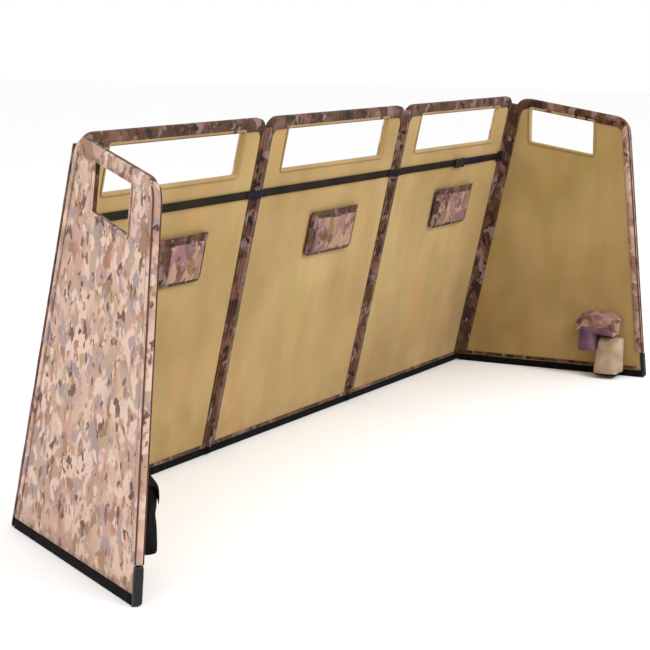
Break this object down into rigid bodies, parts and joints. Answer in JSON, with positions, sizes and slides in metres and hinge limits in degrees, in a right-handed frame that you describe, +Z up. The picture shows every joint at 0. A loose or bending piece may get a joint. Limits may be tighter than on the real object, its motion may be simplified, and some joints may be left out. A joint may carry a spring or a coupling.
{
  "type": "folding panel ground blind",
  "caption": "Folding camouflage panel blind that stands in a U, with leaning front panels, end wings, viewing windows, inner strap, gear pockets and corner pouches.",
  "frame": {"origin": "on the ground, in the middle of the middle front panel's base", "axes": "+X along the front to the right as seen from inside, +Y outwards through the front, +Z up"},
  "size_m": [3.1834, 0.8006, 1.0425],
  "materials": {
    "camo_cloth": "matt printed camouflage cloth, pinkish tan with brown, grey and olive blotches",
    "khaki_lining": "plain khaki woven cloth",
    "camo_binding": "dark brown camouflage binding tape",
    "pocket_camo": "camouflage cloth pocket",
    "tan_canvas": "plain tan canvas",
    "black_hem": "black reinforced cloth",
    "strap_webbing": "dark woven webbing",
    "black_plastic": "moulded black plastic",
    "frame_tube": "drawn tube"
  },
  "bodies": {
    "wing_left": {"frame_hoop_wing_left": "frame_tube", "frame_base_bar_wing_left": "frame_tube", "window_rail_wing_left": "frame_tube", "outer_cover_wing_left": "camo_cloth", "lining_wing_left": "khaki_lining", "edge_binding_wing_left": "camo_binding", "window_binding_wing_left": "camo_binding", "ground_hem_wing_left": "black_hem", "corner_foot_wing_left": "black_plastic", "corner_pouch_wing_left": "pocket_camo", "seam_bead_wing_left": "camo_binding"},
    "front_left": {"frame_hoop_front_left": "frame_tube", "frame_base_bar_front_left": "frame_tube", "window_rail_front_left": "frame_tube", "outer_cover_front_left": "camo_cloth", "lining_front_left": "khaki_lining", "edge_binding_front_left": "camo_binding", "window_binding_front_left": "camo_binding", "ground_hem_front_left": "black_hem", "gear_pocket_front_left": "pocket_camo", "strap_front_left": "strap_webbing", "seam_bead_front_left": "camo_binding", "strap_tab_left": "black_hem"},
    "front_middle": {"frame_hoop_front_middle": "frame_tube", "frame_base_bar_front_middle": "frame_tube", "window_rail_front_middle": "frame_tube", "outer_cover_front_middle": "camo_cloth", "lining_front_middle": "khaki_lining", "edge_binding_front_middle": "camo_binding", "window_binding_front_middle": "camo_binding", "ground_hem_front_middle": "black_hem", "gear_pocket_front_middle": "pocket_camo", "strap_front_middle": "strap_webbing"},
    "front_right": {"frame_hoop_front_right": "frame_tube", "frame_base_bar_front_right": "frame_tube", "window_rail_front_right": "frame_tube", "outer_cover_front_right": "camo_cloth", "lining_front_right": "khaki_lining", "edge_binding_front_right": "camo_binding", "window_binding_front_right": "camo_binding", "ground_hem_front_right": "black_hem", "gear_pocket_front_right": "pocket_camo", "strap_front_right": "strap_webbing", "seam_bead_front_right": "camo_binding", "strap_tab_right": "black_hem", "strap_buckle": "black_plastic", "strap_tail": "strap_webbing"},
    "wing_right": {"frame_hoop_wing_right": "frame_tube", "frame_base_bar_wing_right": "frame_tube", "window_rail_wing_right": "frame_tube", "outer_cover_wing_right": "camo_cloth", "lining_wing_right": "khaki_lining", "edge_binding_wing_right": "camo_binding", "window_binding_wing_right": "camo_binding", "ground_hem_wing_right": "black_hem", "corner_foot_wing_right": "black_plastic", "corner_pouch_wing_right": "pocket_camo", "low_pouch_wing_right": "tan_canvas", "seam_bead_wing_right": "camo_binding"}
  },
  "joints": [
    {"name": "front_left_fold", "type": "hinge", "parent": "front_middle", "child": "front_left", "pos_m": [-0.457, -0.01333, 0], "axis": [0, -0.2215, 0.9751], "range_deg": [0, 90]},
    {"name": "front_right_fold", "type": "hinge", "parent": "front_middle", "child": "front_right", "pos_m": [0.457, -0.01333, 0], "axis": [0, 0.2215, -0.9751], "range_deg": [0, 90]},
    {"name": "wing_left_fold", "type": "hinge", "parent": "front_left", "child": "wing_left", "pos_m": [-1.371, -0.01333, 0], "axis": [0, -0.2215, 0.9751], "range_deg": [-59.3, 90.7]},
    {"name": "wing_right_fold", "type": "hinge", "parent": "front_right", "child": "wing_right", "pos_m": [1.371, -0.01333, 0], "axis": [0, 0.2215, -0.9751], "range_deg": [-90, 60]}
  ]
}
